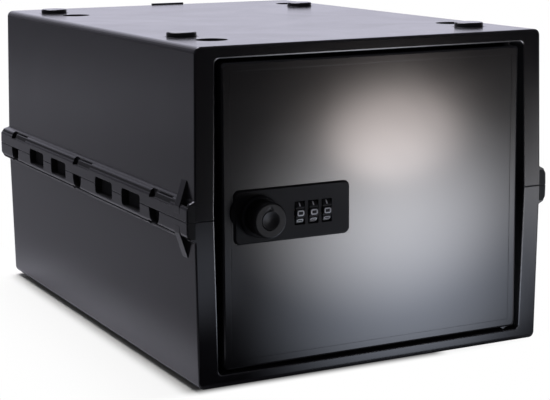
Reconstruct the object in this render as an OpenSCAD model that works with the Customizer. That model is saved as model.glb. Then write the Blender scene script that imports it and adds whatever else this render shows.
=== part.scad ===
// Lock box: two identical snap-together half shells, a side-hung door and a three-dial cam lock.
// Millimetres. The origin is on the floor, under the centre of the box, with the door facing -Y.
// Lengths below are measured in the box frame, whose zero height is the parting line of the shells.

/* [Shell] */
// Width of the shell across its top and bottom faces
shell_w = 199; // [185:1:230]
// Depth of the shell along its top and bottom faces
shell_d = 287; // [275:1:320]
// Height of the two half shells together, without the feet
shell_h = 167; // [150:1:200]
// Thickness of the moulded walls
wall = 2.5; // [2:0.1:3]
// How far each side wall leans out between the top face and the parting line
side_draft = 1.5; // [0.8:0.1:2]
// How far the front and back lean out between the top face and the parting line
end_draft = 0.8; // [0.4:0.1:1.2]
// Radius of the edges round the top and bottom faces
edge_r = 3.2; // [2.4:0.1:3.5]
// Radius of the upright back corners
corner_r = 4; // [3.6:0.1:6]
// Radius of the edges round the front
front_r = 0.8; // [0.6:0.1:1.2]

/* [Snap flange] */
// How far the flange stands out from the walls
flange_out = 4; // [3.5:0.1:5]
// Height of the flat band on each half
band_h = 6; // [5.8:0.1:7]
// Height of the shoulder between the band and the wall
shoulder_h = 4.5; // [4:0.1:6]
// Height of the shoulder's steep rim next to the band
rim_h = 2.4; // [2:0.1:2.6]
// Distance between the rounded tongue openings along a side
tongue_pitch = 110.6; // [108:0.2:112]
// How far the middle tongue opening lies behind the middle of the side
tongue_shift = 6.3; // [4:0.1:8]
// Width of a rounded tongue opening
tongue_w = 13; // [11:0.5:14]
// Height of a rounded tongue opening
tongue_h = 8.1; // [7.7:0.1:8.6]
// Distance from a tongue opening to the next snap window
window_step = 31; // [30:0.1:33]
// Distance between the two snap windows of a pair
window_pitch = 38.6; // [36.6:0.1:41]
// Width of a snap window
window_w = 25; // [20:0.5:25.5]
// Height of a snap window on the half that has the catch
catch_window_h = 5.3; // [5.2:0.1:5.6]
// Height of a snap window on the half that has the tongue
snap_window_h = 4; // [3.5:0.1:4.5]
// Width of the slots in the shoulder
slot_w = 26; // [22:0.5:26.5]
// How far the slots lie in front of the tongue openings
slot_shift = 6.5; // [5:0.1:7]
// Thickness of the tongues
tongue_t = 1.4; // [1.2:0.1:1.6]
// Thickness of the gusset at each end of the flange
gusset_t = 6; // [5:0.5:8]
// Distance from the front plane to the gusset
gusset_back = 9; // [7:0.1:11]
// Height of the gusset beyond the band
gusset_h = 13; // [10:0.5:18]

/* [Front frame] */
// Width of the frame beside the door at the parting line
stile_w = 10.5; // [10:0.5:14]
// Height of the frame above and below the door
rail_h = 6.2; // [6.2:0.1:9]
// How much the door opening narrows towards the top and bottom, on each side
opening_draft = 1.5; // [1:0.1:2.5]
// Corner radius of the door opening
opening_r = 2.5; // [2:0.1:4]
// Depth of the reveal round the door opening
jamb_d = 14; // [13.6:0.1:16]
// Thickness of the front frame
frame_t = 3; // [2.5:0.1:3.5]

/* [Stacking] */
// Diameter of the stacking discs, which are also the feet
disc_d = 15.3; // [12:0.1:17]
// Height of the stacking discs
disc_h = 2.5; // [2:0.1:2.8]
// Radial clearance between a disc and its recess
disc_gap = 0.5; // [0.2:0.05:0.5]
// Depth of the recesses
recess_h = 2.8; // [2.8:0.1:3.2]
// Distance from the sides of the top face to the outer discs and recesses
stack_in = 18.5; // [17:0.5:22]
// Distance from the front of the top face to the first disc and recess
stack_front = 31.5; // [28:0.5:34]
// Distance from the back of the top face to the last disc and recess
stack_back = 38; // [34:0.5:42]
// How far two neighbouring places stand apart along the depth
stack_step = 25; // [22:0.5:27]
// How much further in the other places lie
stack_stagger = 5; // [3:0.5:6]

/* [Door] */
// Gap between the door and the frame at each side
door_gap = 4.35; // [4:0.05:4.5]
// Gap between the door and the frame at the top and bottom
door_end_gap = 1.8; // [1.5:0.1:2.4]
// How far the door lies behind the front plane of the frame
door_set = 0.6; // [0.3:0.1:1.2]
// Depth of the door
door_t = 11.7; // [11:0.1:12.5]
// Thickness of the door's face and walls
skin = 3; // [2.6:0.1:3.4]
// Distance from the door's right edge to its hinge axis
hinge_in = 4.75; // [4.6:0.05:5]
// Distance from the door's face to its hinge axis
hinge_back = 4.8; // [4.6:0.05:5]
// Diameter of the hinge pins
pin_d = 5; // [4:0.1:5.4]
// Radial clearance of everything that turns or slides in a bore
running = 0.06; // [0.03:0.01:0.08]

/* [Lock] */
// Distance from the door's left edge to the knob's axis
knob_in = 19.15; // [18.8:0.05:19.5]
// How far the lock lies below the parting line
lock_drop = 0.1; // [0:0.05:1]
// Width of the lock plate
plate_w = 63.8; // [63.4:0.1:65]
// Height of the lock plate
plate_h = 26.7; // [26.4:0.1:28]
// Distance from the plate's left edge to the knob's axis
plate_in = 13.1; // [12.9:0.1:13.3]
// How far the plate stands out from the door
plate_out = 1.2; // [0.8:0.1:1.5]
// Diameter of the knob
knob_d = 17.8; // [16:0.1:19]
// How far the knob stands out from the door
knob_out = 13.8; // [12.8:0.1:14.5]
// Diameter of the raised ring round the knob
ring_d = 20.4; // [19.5:0.1:21]
// Diameter of the dials
dial_d = 14.4; // [14:0.1:14.8]
// Width of a dial
dial_w = 5; // [4.8:0.1:5.2]
// Distance between the dials
dial_pitch = 7.55; // [7.45:0.05:7.65]
// Height of a dial window
dial_window_h = 11.4; // [11:0.1:12]
// Distance from the middle dial to the plate's right edge
dial_in = 20.75; // [20.6:0.05:20.9]
// Distance from the lock's screws to the plate's side edges
screw_in = 3.7; // [3.6:0.1:3.8]
// Depth of the lock behind the door's face
lock_d = 20.8; // [20.6:0.1:21.4]
// Length of the latch arm from the knob's axis
cam_l = 28.5; // [27.5:0.1:28.8]
// Width of the latch arm
cam_w = 12; // [11:0.5:13]
// Thickness of the latch arm
cam_t = 2.8; // [2:0.1:3]
// Radius on which the crank pin turns
crank_r = 4.4; // [4.3:0.05:4.5]

/* [Hidden] */
$fn = 48;
eps = 0.01;
arc_steps = 5;

black = [0.13, 0.13, 0.14];
satin_black = [0.2, 0.2, 0.22];
steel = [0.72, 0.72, 0.74];
brass = [0.75, 0.62, 0.36];

// The shells
half_h = shell_h / 2;
lip_h = 3;
lip_t = 1.1;
lip_gap = 0.25;
backing_t = 2.3;
backing_h = 11;
pocket_in = wall - 0.2;
groove = 0.3;
rim_in = 1.1;
side_x = shell_w / 2 + side_draft;
end_y = shell_d / 2 + end_draft;
front_y = -end_y;
open_x = side_x - stile_w;
open_z = half_h - rail_h;
jamb_t = 2.5;
keeper_h = 14;

// The row frame: the middle of the whole box's footprint, on the floor
reach_front = end_y - door_set + knob_out;
reach_back = end_y + flange_out;
row_y = (reach_front - reach_back) / 2;
row_z = half_h + disc_h;

// The door
door_x = open_x - door_gap;
door_z = open_z - door_end_gap;
face_y = front_y + door_set;
hinge_x = door_x - hinge_in;
hinge_y = face_y + hinge_back;
pin_l = 3.5;
stop_gap = 0.3;
stop_t = 1.8;

// The lock, along Y from the front
knob_x = -door_x + knob_in;
lock_z = -lock_drop;
plate_y = face_y - plate_out;
plate_t = plate_out + 1;
seat_y = plate_y + plate_t;
dial_out = 1.2;
axle_y = plate_y - dial_out + dial_d / 2;
axle_z = lock_z - 0.55;
plate_low_x = knob_x - plate_in;
plate_high_x = plate_low_x + plate_w;
plate_x = (plate_low_x + plate_high_x) / 2;
dial_x = plate_high_x - dial_in;
body_y = face_y + skin + 0.1;
cover_t = 2.6;
cover_y = face_y + lock_d - cover_t;
cam_y = cover_y + cover_t + 0.4;
keeper_y = cam_y - 0.3;
ring_h = 2.7;
knob_y = face_y - knob_out;
stem_r = 5;
shaft_r = 2.2;
journal_r = 4;
crank_t = 2;
yoke_t = 1.8;
yoke_y = axle_y + 0.3;
crank_y = yoke_y + yoke_t + 0.7;
crank_pin_r = 1;
slide_travel = crank_r * sqrt(2);
crank_disc_r = crank_r + crank_pin_r + 0.6;
axle_r = 2;
tooth_t = 1.2;
tooth_r = 3.4;
sleeve_r = 4.9;
sleeve_l = 5;
web_t = 2;
dial_count = 3;
digits = 10;
first_dial_x = dial_x - dial_pitch;
last_dial_x = dial_x + dial_pitch;
chamber_low = first_dial_x - 4.45;
chamber_high = last_dial_x + 5.55;
bearing_t = 2.5;
screw_r = 1.4;
screw_x = [plate_low_x + screw_in, plate_high_x - screw_in];
screw_z = [axle_z - 8.7, axle_z + 9.7];

// Widths of the shell's own outline at a height z below the parting line
function lean(z) = 1 + z / half_h;
function half_w(z) = shell_w / 2 + side_draft * lean(z);
function half_d(z) = shell_d / 2 + end_draft * lean(z);

// A quarter turn of a rounded corner, centred on [x, y], from the angle a
function corner(x, y, r, a) =
    [for (i = [0:arc_steps]) let (t = a + 90 * i / arc_steps) [x + r * cos(t), y + r * sin(t)]];

// The plan of a shell at height z, with the sides and back moved out and the front moved in.
// The front corners have the radius rf and the back corners the radius rb.
function plan(z, out, front_in, rf, rb) =
    let (x = half_w(z) + out, f = front_in - half_d(z), b = half_d(z) + out)
    [for (p = concat(corner(x - rf, f + rf, rf, -90), corner(x - rb, b - rb, rb, 0),
        corner(rb - x, b - rb, rb, 90), corner(rf - x, f + rf, rf, 180))) [p[0], p[1], z]];

// How far the front is drawn in at the height h above the bottom face
function front_round(h) = h < front_r ? front_r - sqrt(front_r ^ 2 - (front_r - h) ^ 2) : 0;

// The outline of a notch that is open at its top and rounded at its lower corners
function notch(top_w, end_w, depth, r, over) =
    let (flare = over * (top_w - end_w) / 2 / depth)
    concat([[top_w / 2 + flare, over]],
        [for (i = [0:arc_steps]) let (t = -90 * i / arc_steps)
            [end_w / 2 - r + r * cos(t), r - depth + r * sin(t)]],
        [for (i = [0:arc_steps]) let (t = -90 - 90 * i / arc_steps)
            [r - end_w / 2 + r * cos(t), r - depth + r * sin(t)]],
        [[-top_w / 2 - flare, over]]);

// A rounded rectangle in the XZ plane at depth y, turning clockwise as the door's face is seen
function panel(x, z, w, h, r, y) =
    [for (p = concat(corner(w / 2 - r, h / 2 - r, r, 0), corner(r - w / 2, h / 2 - r, r, 90),
        corner(r - w / 2, r - h / 2, r, 180), corner(w / 2 - r, r - h / 2, r, 270)))
        [x - p[0], y, z + p[1]]];

// A solid through a stack of loops that all have as many points
module loft(loops) {
    n = len(loops[0]);
    last = len(loops) - 1;
    polyhedron(points = [for (l = loops) for (p = l) p],
        faces = concat([[for (i = [0:n - 1]) i]],
            [[for (i = [0:n - 1]) last * n + n - 1 - i]],
            [for (k = [0:last - 1]) for (i = [0:n - 1]) let (a = k * n, j = (i + 1) % n)
                [a + i, a + n + i, a + n + j]],
            [for (k = [0:last - 1]) for (i = [0:n - 1]) let (a = k * n, j = (i + 1) % n)
                [a + i, a + n + j, a + j]]));
}

// Extrudes an outline drawn in X and Z from y0 back to y1
module deep(y0, y1) {
    translate([0, y1, 0]) rotate([90, 0, 0]) linear_extrude(y1 - y0) children();
}

// Extrudes an outline drawn in Y and Z outwards along X from x0 to x1
module outwards(x0, x1) {
    translate([x0, 0, 0]) rotate([90, 0, 90]) linear_extrude(x1 - x0) children();
}

// A box between two corners
module block(low, high) {
    translate(low) cube(high - low);
}

// A round bar along Y from y0 to y1
module bar(x, z, r, y0, y1) {
    translate([x, y1, z]) rotate([90, 0, 0]) cylinder(r = r, h = y1 - y0);
}

// A round bar along X from x0 to x1, on the dials' axis
module cross_bar(r, x0, x1) {
    translate([x0, axle_y, axle_z]) rotate([0, 90, 0]) cylinder(r = r, h = x1 - x0);
}

// From the box frame to the frame of the whole part
module place() {
    translate([0, row_y, row_z]) children();
}

/* Half shell, drawn as the lower one. The upper one is the same moulding turned over. */

tongue_y = [for (i = [-1:1]) tongue_shift + i * tongue_pitch];
window_y = [for (i = [0:1]) for (k = [0:1]) tongue_y[i] + window_step + k * window_pitch];
back_window_x = [for (k = [0:1]) window_step + k * window_pitch];

// Stands a piece of the flange at a place on a side wall or the back wall, facing outwards
module on_right(y) {
    translate([side_x, y, 0]) children();
}

module on_left(y) {
    translate([-side_x, y, 0]) rotate(180) children();
}

module on_back(x) {
    translate([x, end_y, 0]) rotate(90) children();
}

module snap_window(h) {
    outwards(-pocket_in, flange_out + 1) polygon(notch(window_w, window_w, h, 2, 1));
}

module tongue_window() {
    outwards(-pocket_in, flange_out + 1)
        polygon(notch(tongue_w, tongue_w, tongue_h, tongue_w / 2 - eps, 1));
}

// A tongue that springs under the other half's catch
module snap_tongue() {
    w = window_w - 4;
    tip = catch_window_h - 0.6;
    block([-tongue_t / 2, -w / 2, -snap_window_h - 1.5], [tongue_t / 2, w / 2, tip]);
    block([-pocket_in + 0.25, -w / 2, tip - 1.6], [0, w / 2, tip]);
}

// The rib that the tongue springs under
module catch() {
    w = window_w - 4;
    block([-pocket_in - eps, -w / 2, -2.6], [-tongue_t / 2 - 0.3, w / 2, -1]);
}

// A round-ended tongue that only guides the halves together
module guide_tongue() {
    r = tongue_w / 2 - 0.6;
    mirror([0, 0, 1]) outwards(-tongue_t / 2, tongue_t / 2)
        polygon(notch(2 * r, 2 * r, tongue_h - 0.6, r - eps, 2));
}

// A slot in the shoulder, with a tab left standing in it a little below the shoulder's surface
module shoulder_slot() {
    low = band_h + shoulder_h;
    rim = band_h + rim_h;
    near = flange_out / 4 + 0.9;
    far = flange_out - 0.7;
    difference() {
        block([flange_out / 4, -slot_w / 2, -low], [flange_out + 1, slot_w / 2, 0.8 - band_h]);
        deep(0.7 - slot_w / 2, slot_w / 2 - 6) polygon([[near, 1 - band_h], [near, -rim - 0.2],
            [far - 0.7, 0.3 - rim], [far, -band_h - 0.2], [far, 1 - band_h]]);
    }
}

// The lower edge of the flange is thinner beside each tongue opening
module thin_edge() {
    front = 9;
    back = 17.5;
    block([flange_out / 2, -back, -band_h - shoulder_h], [flange_out + 1, front, -band_h - 0.9]);
}

// The outer skin of the half shell, with the flange's band and shoulder
module shell_outside() {
    round = [for (i = [0:5]) let (a = 90 * i / 5)
        let (h = edge_r * (1 - cos(a)), in = edge_r * (1 - sin(a)))
        plan(h - half_h, -in, front_round(h), front_r, max(corner_r - in, 0.6))];
    curve_h = shoulder_h - rim_h;
    shoulder = [for (i = [0:5]) let (t = i / 5, out = (flange_out - rim_in) * (1 - cos(180 * t)) / 2)
        plan(curve_h * (t - 1) - rim_h - band_h, out, 0, front_r, corner_r)];
    // The rim has a fine ledge half way
    rim = [for (p = [[0.52, 0.6], [0.48, 0.4], [0, 0]])
        plan(-p[0] * rim_h - band_h, flange_out - p[1] * rim_in, 0, front_r, corner_r)];
    band = [plan(-groove, flange_out, 0, front_r, corner_r),
        plan(0, flange_out - groove, groove, front_r, corner_r)];
    loft(concat(round, shoulder, rim, band));
}

module shell_inside() {
    floor_r = 2;
    curve = [for (i = [0:2]) let (a = 90 * i / 2, in = floor_r * (1 - sin(a)), r = corner_r - in)
        plan(floor_r * (1 - cos(a)) - half_h + wall, -wall - in, wall + in, r, r)];
    loft(concat(curve, [plan(1, -wall, wall, corner_r, corner_r)]));
}

// Keeps the cavity away from the thicker front frame
module front_wall() {
    intersection() {
        shell_outside();
        block([-side_x, front_y - 1, -half_h], [side_x, front_y + frame_t, 0]);
    }
}

module opening(grow, over) {
    polygon(notch(2 * (open_x + grow), 2 * (open_x - opening_draft + grow), open_z + grow,
        opening_r + grow, over));
}

// Rounds the front edge of the door opening, parallel to the leaning front face
module opening_edge() {
    r = 0.6;
    loft([for (i = [0:3]) let (a = 90 * (i - 1) / 2, g = i == 0 ? r : r * (1 - sin(a)))
        [for (p = notch(2 * (open_x + g), 2 * (open_x - opening_draft + g), open_z + g,
            opening_r + g, 1))
            [p[0], -half_d(p[1]) + (i == 0 ? -1 : r * (1 - cos(a))), p[1]]]]);
}

module jamb() {
    front = front_y + frame_t - 0.5;
    rear = front_y + jamb_d;
    tie_t = 1.8;
    deep(front - 0.5, rear) opening(jamb_t, 0);
    // Ties between the reveal and the outer walls
    for (s = [0, 1]) mirror([s, 0, 0]) for (z = [0.32, 0.6, 0.88])
        translate([0, 0, -z * half_h])
            block([open_x, front, 0], [side_x - wall - 0.1, rear - 1, tie_t]);
    for (x = [-0.5, 0, 0.5]) translate([x * open_x, 0, 0])
        block([0, front, wall / 2 - half_h], [tie_t, rear - 1, -open_z - 1]);
}

// Thick blocks behind the frame that the latch arm bears on
module keepers() {
    for (s = [0, 1]) mirror([s, 0, 0])
        block([open_x, front_y + jamb_d - 2, -keeper_h], [side_x - wall + 0.5, keeper_y, 0]);
}

module gussets() {
    y = front_y + gusset_back;
    for (s = [0, 1]) mirror([s, 0, 0])
        deep(y, y + gusset_t) polygon([[side_x - wall, -band_h - gusset_h],
            [half_w(-band_h - gusset_h) + 0.2, -band_h - gusset_h],
            [side_x + flange_out, -band_h - 0.4], [side_x + flange_out, -3], [side_x - wall, -3]]);
}

// The pockets that are open beyond the band, between the gussets and the front
module front_pockets() {
    for (s = [0, 1]) mirror([s, 0, 0])
        block([side_x + 0.3, front_y + 2, -band_h - shoulder_h - 1],
            [side_x + flange_out - 1, front_y + gusset_back + eps, 1.2 - band_h]);
}

// Where the discs and recesses lie
disc_x = shell_w / 2 - stack_in;
recess_x = disc_x - stack_stagger;
disc_y = [stack_front + stack_step - shell_d / 2, shell_d / 2 - stack_back];
recess_y = [stack_front - shell_d / 2, shell_d / 2 - stack_back - stack_step];

module stack_places(x, ys) {
    for (y = ys) translate([x, y, -half_h]) children();
}

module stacking_discs() {
    chamfer = 0.4;
    for (side = [disc_x, -recess_x]) stack_places(side, side > 0 ? disc_y : recess_y) {
        translate([0, 0, chamfer - disc_h]) cylinder(d = disc_d, h = disc_h - chamfer + wall / 2);
        translate([0, 0, -disc_h]) cylinder(d1 = disc_d - 2 * chamfer, d2 = disc_d, h = chamfer);
    }
}

module stacking_recesses(grow, h) {
    for (side = [-disc_x, recess_x]) stack_places(side, side < 0 ? disc_y : recess_y)
        translate([0, 0, grow > 0 ? 0.5 : -1])
            cylinder(r = disc_d / 2 + disc_gap + grow, h = h + (grow > 0 ? -0.5 : 1));
}

module hinge_sockets() {
    for (s = [-1, 1]) translate([s * hinge_x, hinge_y, -open_z - pin_l - 0.3])
        cylinder(d = pin_d + 2 * running, h = pin_l + 3);
}

module hinge_bosses() {
    for (s = [-1, 1]) translate([s * hinge_x, hinge_y, -half_h + wall / 2])
        cylinder(r = 4.2, h = rail_h - wall / 2);
}

// Ribs behind the top and bottom of the door that it closes against
module door_stops() {
    y = face_y + door_t + stop_gap;
    stop_x = open_x * 0.67;
    block([-stop_x, y, -open_z - 1], [stop_x, y + stop_t, 2 - door_z]);
}

// The lip on the left half of the joint, and the rebate on its right half that takes it
module lip(grow, z0, z1) {
    x = side_x - wall - backing_t;
    y = end_y - wall - backing_t;
    // The lip stops short of the keepers and of the back corners
    near = keeper_y + 5.5 - grow;
    clear = 6 - grow;
    block([-x - lip_t - grow, near, z0], [-x + grow, y - clear, z1]);
    block([clear - x, y - grow, z0], [-clear, y + lip_t + grow, z1]);
}

// The inner wall of the snap flange, which closes the snap windows off from the inside
module backing() {
    x = side_x - wall - backing_t;
    y = end_y - wall - backing_t;
    for (s = [0, 1]) mirror([s, 0, 0])
        block([x, front_y + jamb_d - 1, -backing_h], [x + backing_t + 0.2, end_y - wall, 0]);
    block([-x, y, -backing_h], [x, y + backing_t + 0.2, 0]);
}

module back_ridge() {
    block([-21, end_y - 3 - end_draft, -half_h - 1], [1, end_y - 1.2 - end_draft, -half_h + 1]);
}

module half_shell() {
    difference() {
        union() {
            difference() {
                union() {
                    difference() {
                        shell_outside();
                        shell_inside();
                    }
                    front_wall();
                    jamb();
                    keepers();
                    gussets();
                    backing();
                    hinge_bosses();
                    stacking_recesses(2, recess_h + 2);
                    stacking_discs();
                    back_ridge();
                }
                deep(front_y - 5, keeper_y + 5) opening(0, 1);
                opening_edge();
                front_pockets();
                for (y = window_y) {
                    on_left(y) snap_window(catch_window_h);
                    on_right(y) snap_window(snap_window_h);
                }
                for (x = back_window_x) {
                    on_back(-x) snap_window(catch_window_h);
                    on_back(x) snap_window(snap_window_h);
                }
                for (y = tongue_y) {
                    on_left(y) tongue_window();
                    on_left(y) mirror([0, 1, 0]) thin_edge();
                    on_right(y - slot_shift) shoulder_slot();
                }
                mirror([1, 0, 0]) lip(lip_gap, -lip_h - lip_gap, 1);
            }
            door_stops();
            for (y = window_y) {
                on_left(y) catch();
                on_right(y) snap_tongue();
            }
            for (x = back_window_x) {
                on_back(-x) catch();
                on_back(x) snap_tongue();
            }
            for (y = tongue_y) on_right(y) guide_tongue();
            lip(0, -1, lip_h);
        }
        stacking_recesses(0, recess_h);
        hinge_sockets();
    }
}

module lower_shell() {
    color(black) place() half_shell();
}

module upper_shell() {
    color(black) place() rotate([0, 180, 0]) half_shell();
}

/* Door */

module door_face() {
    w = 2 * door_x;
    h = 2 * door_z;
    r = 2;
    round = 1.2;
    loft(concat([for (i = [0:2]) let (a = 45 * i, in = round * (1 - sin(a)))
        panel(0, 0, w - 2 * in, h - 2 * in, r, face_y + round * (1 - cos(a)))],
        [panel(0, 0, w, h, r, face_y + skin)]));
}

// The thin line that runs round the door near its edge
module door_line() {
    in = 4.4;
    line = 0.3;
    deep = 0.15;
    difference() {
        block([in - door_x, face_y - 1, in - door_z], [door_x - in, face_y + deep, door_z - in]);
        block([in + line - door_x, face_y - 2, in + line - door_z],
            [door_x - in - line, face_y + 1, door_z - in - line]);
    }
}

module door_walls() {
    rear = face_y + door_t;
    t = skin - 0.6;
    difference() {
        loft([panel(0, 0, 2 * door_x, 2 * door_z, 2, face_y + skin - 0.5),
            panel(0, 0, 2 * door_x, 2 * door_z, 2, rear)]);
        block([t - door_x, face_y, t - door_z], [door_x - t, rear + 1, door_z - t]);
    }
}

module door_ribs() {
    rib_t = 1.8;
    front = face_y + skin - 0.5;
    rear = face_y + door_t - 2;
    // The bay round the lock
    bay = [screw_x[0] - 7, screw_x[1] + 12];
    for (x = bay) translate([x, 0, 0])
        block([-rib_t / 2, front, 1 - door_z], [rib_t / 2, rear, door_z - 1]);
    for (s = [-1, 1]) translate([0, 0, lock_z + s * (plate_h / 2 + 3)])
        block([1 - door_x, front, -rib_t / 2], [door_x - 1, rear, rib_t / 2]);
    // The stiffening grid of the rest of the door
    for (k = [1, 2]) translate([bay[1] + k * (door_x - bay[1]) / 3, 0, 0])
        block([-rib_t / 2, front, 1 - door_z], [rib_t / 2, rear, door_z - 1]);
    for (s = [-1, 1]) translate([0, 0, s * door_z * 0.6])
        block([1 - door_x, front, -rib_t / 2], [door_x - 1, rear, rib_t / 2]);
}

module lock_bay() {
    block([screw_x[0] - 5, face_y + skin, lock_z - plate_h / 2 - 1.9],
        [screw_x[1] + 11, face_y + door_t + 1, lock_z + plate_h / 2 + 1.9]);
}

module door_cutout() {
    block([screw_x[0] - 2.7, face_y - 1, screw_z[0] - 2.7],
        [screw_x[1] + 2.7, face_y + skin + 1, screw_z[1] + 2.7]);
    gap = 0.15;
    x = plate_w / 2 + gap;
    z = plate_h / 2 + gap;
    block([plate_x - x, face_y - 1, lock_z - z], [plate_x + x, seat_y, lock_z + z]);
    bar(bulge_x, bulge_z, bulge_r + gap, face_y - 1, seat_y);
    // Relief for the end of the code slide
    cross_bar(axle_r + 0.4, end_low, end_high);
}

module hinge_pins() {
    for (s = [0, 1]) mirror([0, 0, s]) {
        translate([hinge_x, hinge_y, door_z - 12]) cylinder(r = 4.2, h = 12);
        translate([hinge_x, hinge_y, door_z - 1])
            cylinder(d = pin_d, h = door_end_gap + pin_l + 1);
    }
}

module door() {
    color(satin_black) place() difference() {
        union() {
            door_face();
            door_walls();
            difference() {
                door_ribs();
                lock_bay();
            }
            hinge_pins();
        }
        door_cutout();
        door_line();
    }
}

/* Lock plate */

bulge_r = 7.85;
bulge_x = knob_x - 7;
bulge_z = lock_z + 2.4;
boss_r = 2;
boss_l = 5.7;

// The front of the plate with its bevelled edge
module plate_face() {
    bevel = 0.7;
    r = 3;
    loft([panel(plate_x, lock_z, plate_w - 2 * bevel, plate_h - 2 * bevel, r - 0.5, plate_y),
        panel(plate_x, lock_z, plate_w, plate_h, r, plate_y + bevel),
        panel(plate_x, lock_z, plate_w, plate_h, r, seat_y)]);
}

module dial_window(x) {
    w = dial_w + 0.3;
    bevel = 0.5;
    loft([panel(x, axle_z, w + bevel, dial_window_h + bevel, 0.4, plate_y - eps),
        panel(x, axle_z, w, dial_window_h, 0.3, plate_y + 0.5),
        panel(x, axle_z, w, dial_window_h, 0.3, seat_y + 1)]);
}

module lock_plate() {
    color(black) place() difference() {
        union() {
            plate_face();
            bar(bulge_x, bulge_z, bulge_r, plate_y + 0.4, seat_y);
            translate([knob_x, plate_y + 0.5, lock_z]) rotate([90, 0, 0])
                rotate_extrude() polygon([[0, 0], [ring_d / 2, 0], [ring_d / 2, ring_h - 0.3],
                    [ring_d / 2 - 0.8, ring_h + 0.5], [0, ring_h + 0.5]]);
            for (x = screw_x) for (z = screw_z) bar(x, z, boss_r, seat_y - 0.5, seat_y + boss_l);
        }
        bar(knob_x, lock_z, stem_r + running, plate_y - ring_h - 1, seat_y + 1);
        for (x = screw_x) for (z = screw_z)
            bar(x, z, screw_r + 0.05, seat_y - 0.2, seat_y + boss_l + 1);
        for (i = [-1:1]) translate([i * dial_pitch, 0, 0]) {
            dial_window(dial_x);
            // Room for the dial behind the edges of its window
            cross_bar(dial_d / 2 + 0.2, dial_x - dial_w / 2 - 0.2, dial_x + dial_w / 2 + 0.2);
        }
        // Room for the spring beside the last dial
        cross_bar(sleeve_r - 0.3, last_dial_x, chamber_high);
    }
}

/* Lock housing and its cover */

housing_low = [screw_x[0] - 4, lock_z - plate_h / 2 - 0.2];
housing_high = [screw_x[1] + 9, lock_z + plate_h / 2 + 0.2];
end_low = chamber_high + bearing_t;
end_high = housing_high[0] - 1.5;
crank_low = knob_x - crank_disc_r - 0.6;
crank_room = [lock_z - crank_disc_r - 2.2, lock_z + crank_disc_r + 0.7];
crank_high = chamber_low - bearing_t;
pocket_y = axle_y - axle_r - 0.3;

module housing_block() {
    block([housing_low[0], body_y, housing_low[1]], [housing_high[0], cover_y, housing_high[1]]);
    block([screw_x[0] - 2.4, seat_y, screw_z[0] - 2.4],
        [screw_x[1] + 2.4, body_y + 1, screw_z[1] + 2.4]);
}

module dial_chamber() {
    r = dial_d / 2 + 0.4;
    difference() {
        block([chamber_low, seat_y - 1, axle_z - r], [chamber_high, cover_y + 1, axle_z + r]);
        // Forked partitions keep the dials apart
        for (s = [-1, 1]) difference() {
            translate([dial_x + s * dial_pitch / 2, 0, 0])
                block([-0.65, seat_y + 1.5, axle_z - r - 1], [0.65, cover_y - 1, axle_z + r + 1]);
            saddle(tooth_r + 0.3, chamber_low, chamber_high);
        }
    }
}

// A round-bottomed slot that is open to the rear, so that the slide drops in from there
module saddle(r, x0, x1) {
    cross_bar(r, x0, x1);
    block([x0, axle_y, axle_z - r], [x1, cover_y + 1, axle_z + r]);
}

module lock_housing() {
    color(black) place() difference() {
        housing_block();
        dial_chamber();
        // The crank turns here, behind the front wall
        block([crank_low, pocket_y, crank_room[0]], [crank_high, cover_y + 1, crank_room[1]]);
        bar(knob_x, lock_z, stem_r + 0.3, seat_y - 1, body_y + 3);
        // The end of the slide comes out here
        block([end_low, pocket_y, axle_z - 3.6], [end_high, cover_y + 1, axle_z + 3.6]);
        saddle(axle_r + running, crank_high - 1, end_low + 1);
        for (x = screw_x) for (z = screw_z) {
            bar(x, z, screw_r + 0.25, seat_y - 1, cover_y + 1);
            bar(x, z, boss_r + 0.15, seat_y - 1, seat_y + boss_l + 0.3);
        }
    }
}

lever_x = end_high - 3.2;
lever_travel = 3;
head_r = 2.8;
head_t = 1.7;

module lock_cover() {
    color(black) place() difference() {
        union() {
            block([housing_low[0], cover_y, housing_low[1]],
                [housing_high[0], cover_y + cover_t, housing_high[1]]);
            // Posts that hold the slide down in its two saddles
            for (x = [crank_high, chamber_high])
                block([x + 0.2, axle_y + axle_r + 0.1, axle_z - axle_r + 0.2],
                    [x + bearing_t - 0.2, cover_y + 1, axle_z + axle_r - 0.2]);
        }
        bar(knob_x, lock_z, journal_r + running, cover_y - 1, cover_y + cover_t + 1);
        for (x = screw_x) for (z = screw_z) {
            bar(x, z, screw_r + 0.25, cover_y - 1, cover_y + cover_t + 1);
            bar(x, z, head_r + 0.2, cover_y + cover_t - head_t - 0.1, cover_y + cover_t + 1);
        }
        block([lever_x - lever_travel - 1.3, cover_y - 1, axle_z - 1.3],
            [lever_x + 1.3, cover_y + cover_t + 1, axle_z + 1.3]);
    }
}

module lock_screws() {
    top = cover_y + cover_t - 0.1;
    color(steel) place() for (x = screw_x) for (z = screw_z) difference() {
        union() {
            bar(x, z, screw_r, seat_y + 0.3, top - 1);
            bar(x, z, head_r, top - head_t, top);
        }
        // Hexagon socket
        translate([x, top + eps, z]) rotate([90, 0, 0]) cylinder(r = 1.3, h = 1.1, $fn = 6);
    }
}

module code_lever() {
    x = lever_x - lever_travel;
    color(satin_black) place() {
        block([x - 1.1, cover_y - 1.8, axle_z - 1.1],
            [x + 1.1, cover_y + cover_t + 0.8, axle_z + 1.1]);
        difference() {
            block([x - 2.4, cover_y + cover_t + 0.1, axle_z - 3.5],
                [x + 2.4, cover_y + cover_t + 2.2, axle_z + 3.5]);
            for (k = [-1:1]) translate([x + k * 1.5, cover_y + cover_t + 2.2, axle_z])
                cube([0.6, 0.8, 8], center = true);
        }
    }
}

/* Knob, spindle and latch arm */

// The square socket inside the knob, and how far it starts behind the knob's face
socket = 5;
socket_in = 5;

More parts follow.
